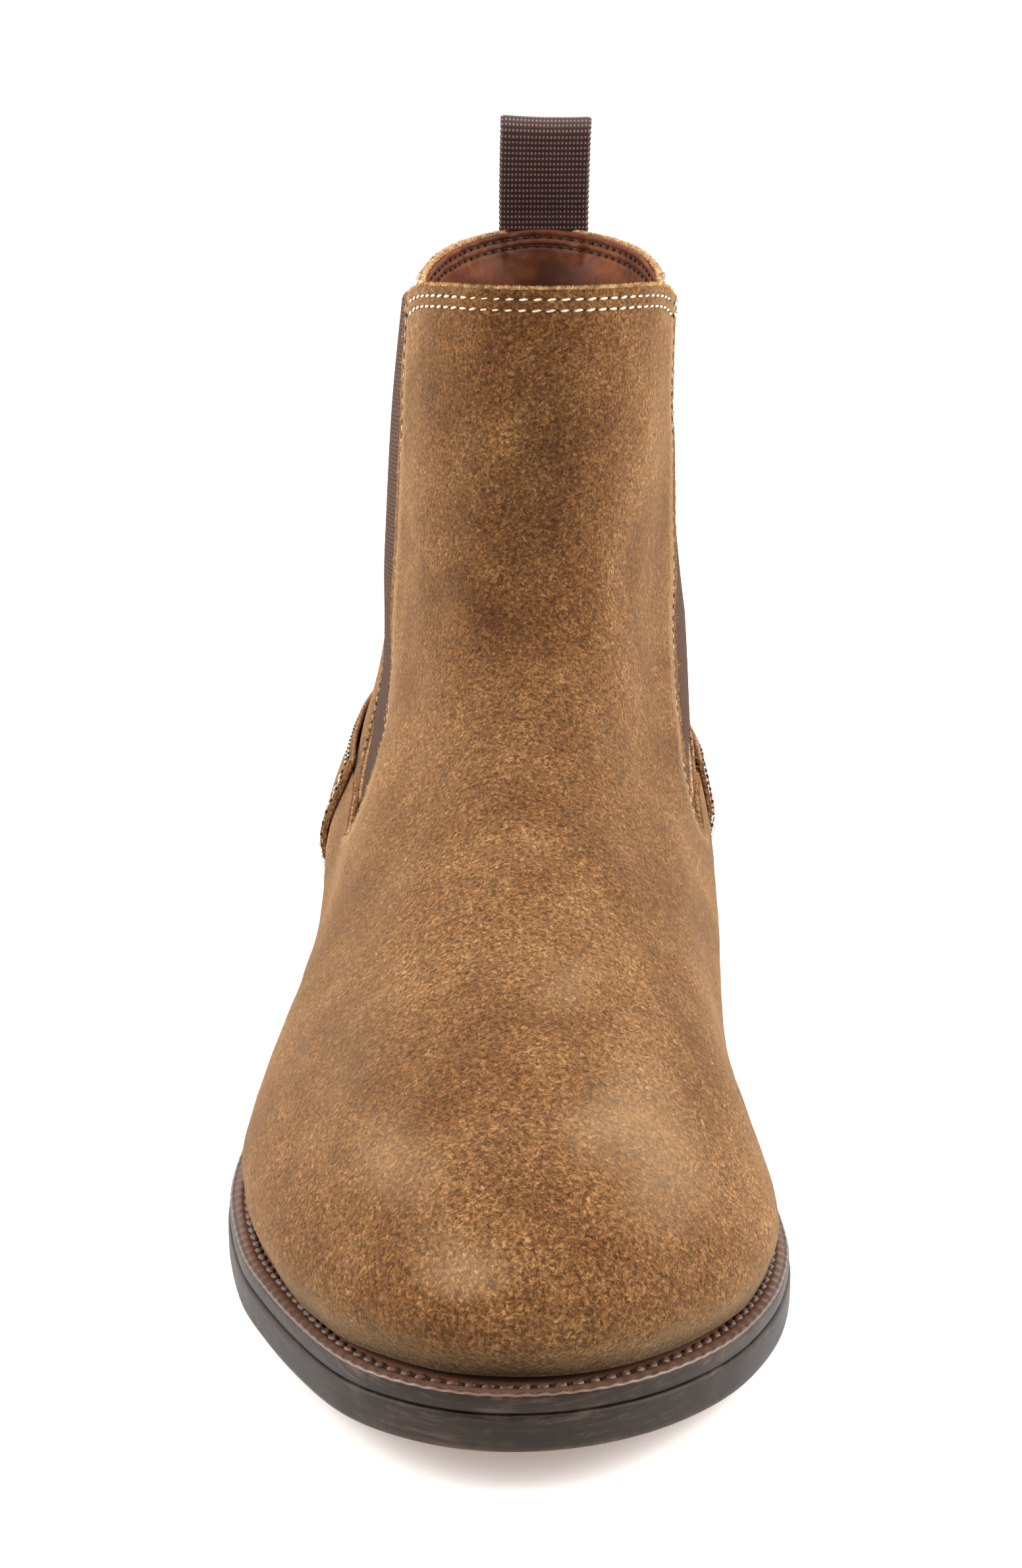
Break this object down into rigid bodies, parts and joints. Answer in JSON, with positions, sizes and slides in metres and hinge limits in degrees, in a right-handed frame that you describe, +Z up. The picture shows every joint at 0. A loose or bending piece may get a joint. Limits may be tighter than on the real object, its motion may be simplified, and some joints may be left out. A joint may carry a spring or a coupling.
{
  "type": "chelsea boot",
  "caption": "Right-foot suede chelsea boot with elastic side gores, webbing pull tab, stitched welt and stacked heel.",
  "frame": {"origin": "on the floor, midway between the back and the toe tip of the sole, on the sole's long axis", "axes": "+Z up, -Y towards the toe, +X towards the inner (medial) side of this right boot"},
  "size_m": [0.1058, 0.3027, 0.2013],
  "materials": {
    "suede": "matte",
    "elastic": "matte",
    "webbing": "matte",
    "lining_leather": "satin",
    "stiffener": "matte",
    "welt_leather": "satin",
    "insole_leather": "matte",
    "cork": "matte",
    "steel": "satin",
    "sole_leather": "satin",
    "heel_rubber": "matte",
    "brass": "satin"
  },
  "bodies": {
    "boot": {"vamp": "suede", "heel_foxing": "suede", "gore_lateral": "elastic", "gore_medial": "elastic", "vamp_lining": "lining_leather", "heel_grip": "lining_leather", "toe_puff": "stiffener", "heel_counter": "stiffener", "welt": "welt_leather", "insole_board": "insole_leather", "sock_liner": "lining_leather", "cork_filler": "cork", "shank": "steel", "heel_pad": "insole_leather", "outsole": "sole_leather", "heel_lift_upper": "sole_leather", "heel_lift_lower": "sole_leather", "top_piece": "heel_rubber", "heel_nails": "brass"},
    "shaft_back": {"back_panel": "suede", "back_lining": "lining_leather", "tab_anchor": "webbing"},
    "tab": {"pull_tab": "webbing"}
  },
  "joints": [
    {"name": "shaft_open", "type": "hinge", "parent": "boot", "child": "shaft_back", "pos_m": [0, 0.05, 0.066], "axis": [-1, 0, 0], "range_deg": [0, 3], "stiffness_Nm_per_rad": 3, "springref_deg": -2.86, "deforming": ["gore_lateral", "gore_medial"]},
    {"name": "tab_fold", "type": "hinge", "parent": "shaft_back", "child": "tab", "pos_m": [0.0104, 0.1316, 0.1758], "axis": [1, 0, 0], "range_deg": [-90, 70], "stiffness_Nm_per_rad": 0.01}
  ]
}
